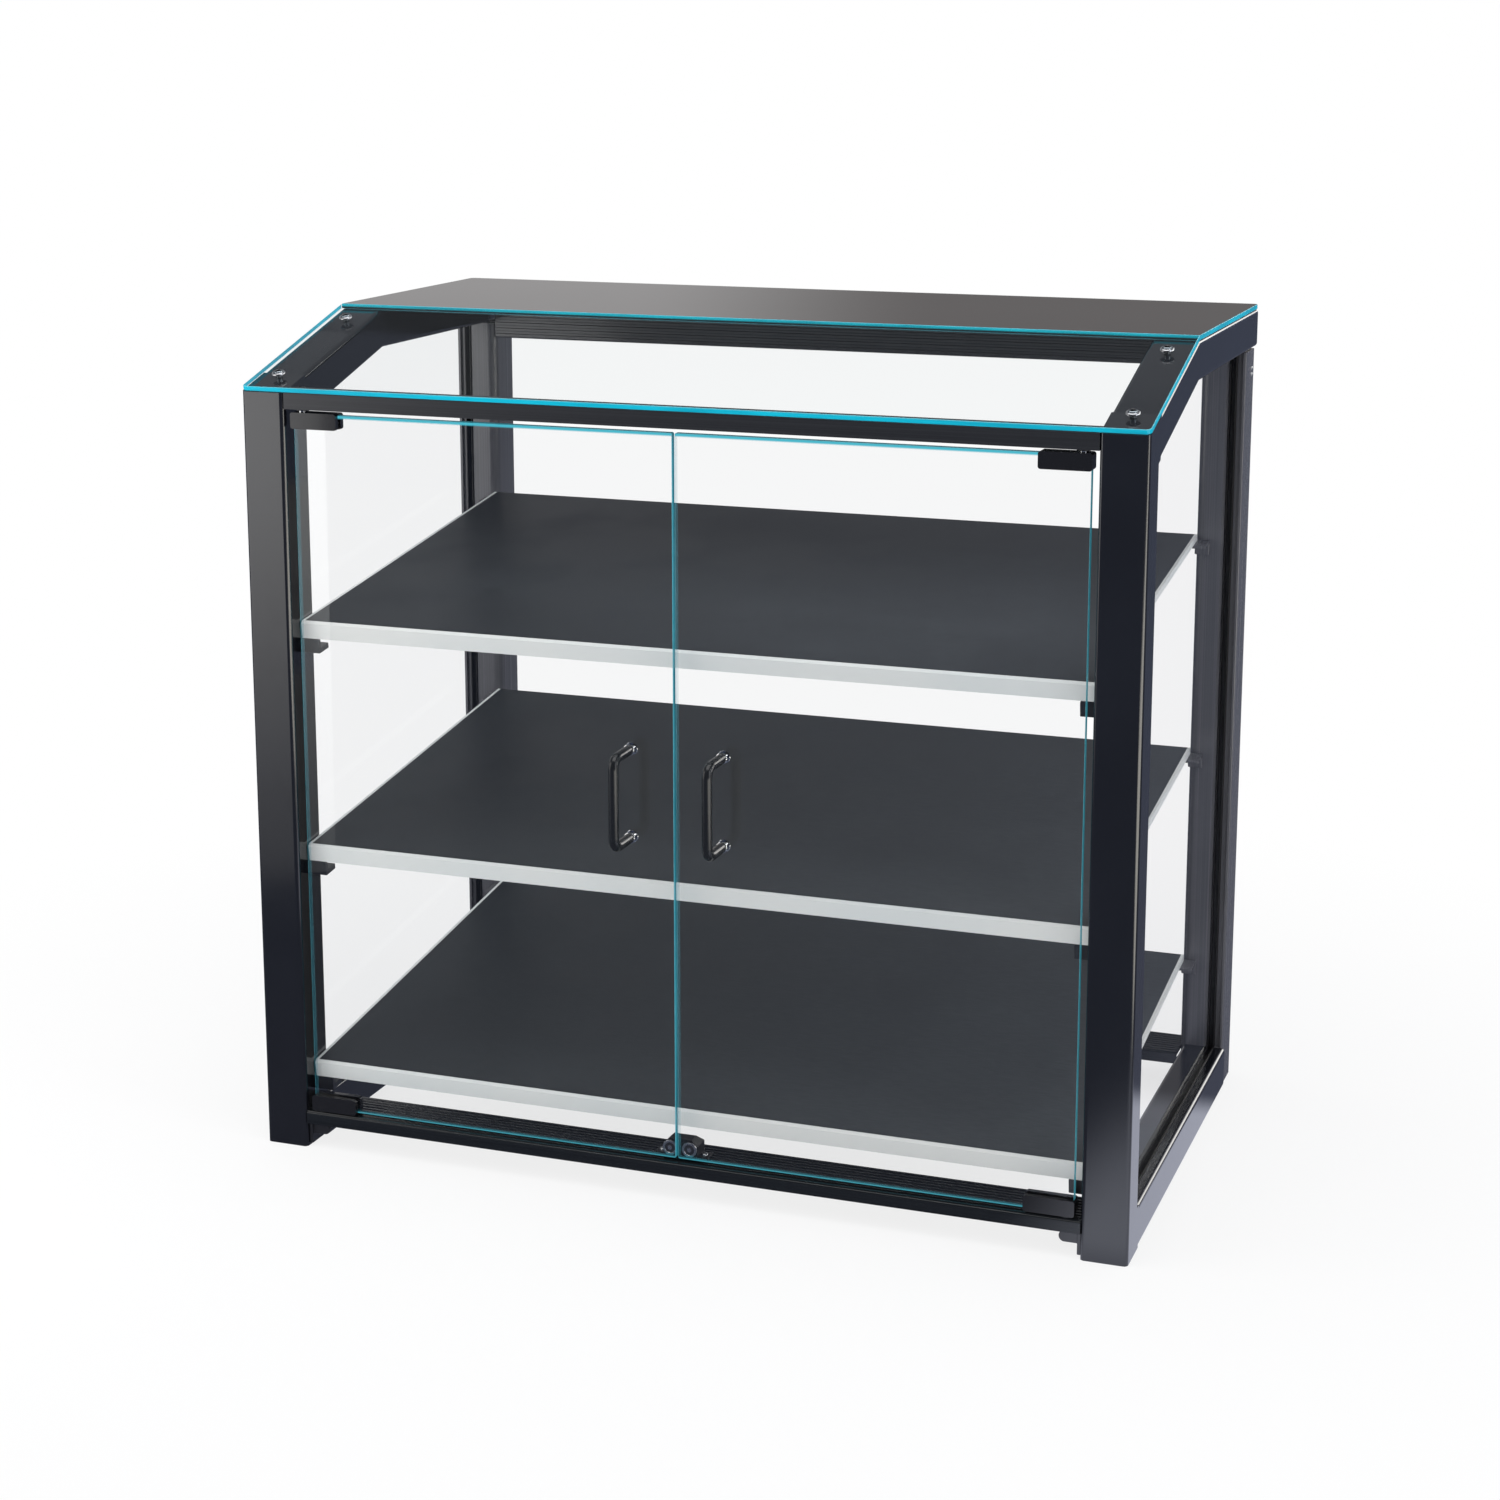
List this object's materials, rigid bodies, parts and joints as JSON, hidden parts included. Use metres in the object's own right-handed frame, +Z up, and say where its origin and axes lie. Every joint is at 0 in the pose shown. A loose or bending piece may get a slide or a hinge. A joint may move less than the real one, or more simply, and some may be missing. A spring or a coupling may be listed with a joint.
{
  "type": "countertop display bin",
  "caption": "Countertop bread display bin with a sloped glass top, glass double doors on corner pivots and tilted shelves, open at the back.",
  "frame": {"origin": "centre of the bounding box's footprint on the table plane, handles included", "axes": "+X to the right seen from the front, +Y from the doors towards the open back, +Z up"},
  "size_m": [0.711, 0.449, 0.667],
  "materials": {
    "frame_paint": "satin dark blue-grey powder coat",
    "bar_metal": "dark anodised ridged extrusion",
    "side_glass": "clear polished glass",
    "roof_glass": "clear polished glass with bright edges",
    "door_glass": "clear polished glass with teal edges",
    "top_glass": "glossy glass painted black underneath",
    "gasket": "matte black",
    "rivet": "plain",
    "bright_trim": "polished",
    "screw_black": "black oxide",
    "shelf_board": "light grey laminated edge",
    "shelf_sheet": "black textured laminate",
    "bracket": "black satin",
    "bushing": "black nylon",
    "catch": "black moulded",
    "magnet": "ground",
    "clip": "black gloss",
    "pin": "polished",
    "handle": "black gloss coat"
  },
  "bodies": {
    "frame": {"left_front_post": "frame_paint", "left_bottom_rail": "frame_paint", "left_sloped_rail": "frame_paint", "left_top_rail": "frame_paint", "left_rear_post": "frame_paint", "right_front_post": "frame_paint", "right_bottom_rail": "frame_paint", "right_sloped_rail": "frame_paint", "right_top_rail": "frame_paint", "right_rear_post": "frame_paint", "rear_post_rivets": "rivet", "left_side_glass": "side_glass", "right_side_glass": "side_glass", "left_glass_gasket": "gasket", "right_glass_gasket": "gasket", "header_bar": "bar_metal", "header_brackets": "bracket", "front_sill": "bar_metal", "sill_brackets": "bracket", "rear_bottom_bar": "bar_metal", "rear_top_bar": "bar_metal", "sloped_glass": "roof_glass", "top_panel": "top_glass", "sloped_glass_screws": "screw_black", "sloped_glass_cups": "bright_trim", "lower_shelf": "shelf_board", "middle_shelf": "shelf_board", "upper_shelf": "shelf_board", "lower_shelf_sheet": "shelf_sheet", "middle_shelf_sheet": "shelf_sheet", "upper_shelf_sheet": "shelf_sheet", "shelf_front_brackets": "bracket", "shelf_rear_brackets": "bracket", "pivot_bushings": "bushing", "catch_body": "catch", "catch_magnets": "magnet", "catch_screws": "bright_trim"},
    "left_door": {"left_door_glass": "door_glass", "left_hinge_clips": "clip", "left_pivot_pins": "pin", "left_handle": "handle", "left_handle_rings": "bright_trim", "left_handle_screws": "bright_trim", "left_strike_disc": "magnet"},
    "right_door": {"right_door_glass": "door_glass", "right_hinge_clips": "clip", "right_pivot_pins": "pin", "right_handle": "handle", "right_handle_rings": "bright_trim", "right_handle_screws": "bright_trim", "right_strike_disc": "magnet"}
  },
  "joints": [
    {"name": "left_door_hinge", "type": "hinge", "parent": "frame", "child": "left_door", "pos_m": [-0.307, -0.187, 0.033], "axis": [0, 0, 1], "range_deg": [-105, 0]},
    {"name": "right_door_hinge", "type": "hinge", "parent": "frame", "child": "right_door", "pos_m": [0.307, -0.187, 0.033], "axis": [0, 0, 1], "range_deg": [0, 105]}
  ]
}
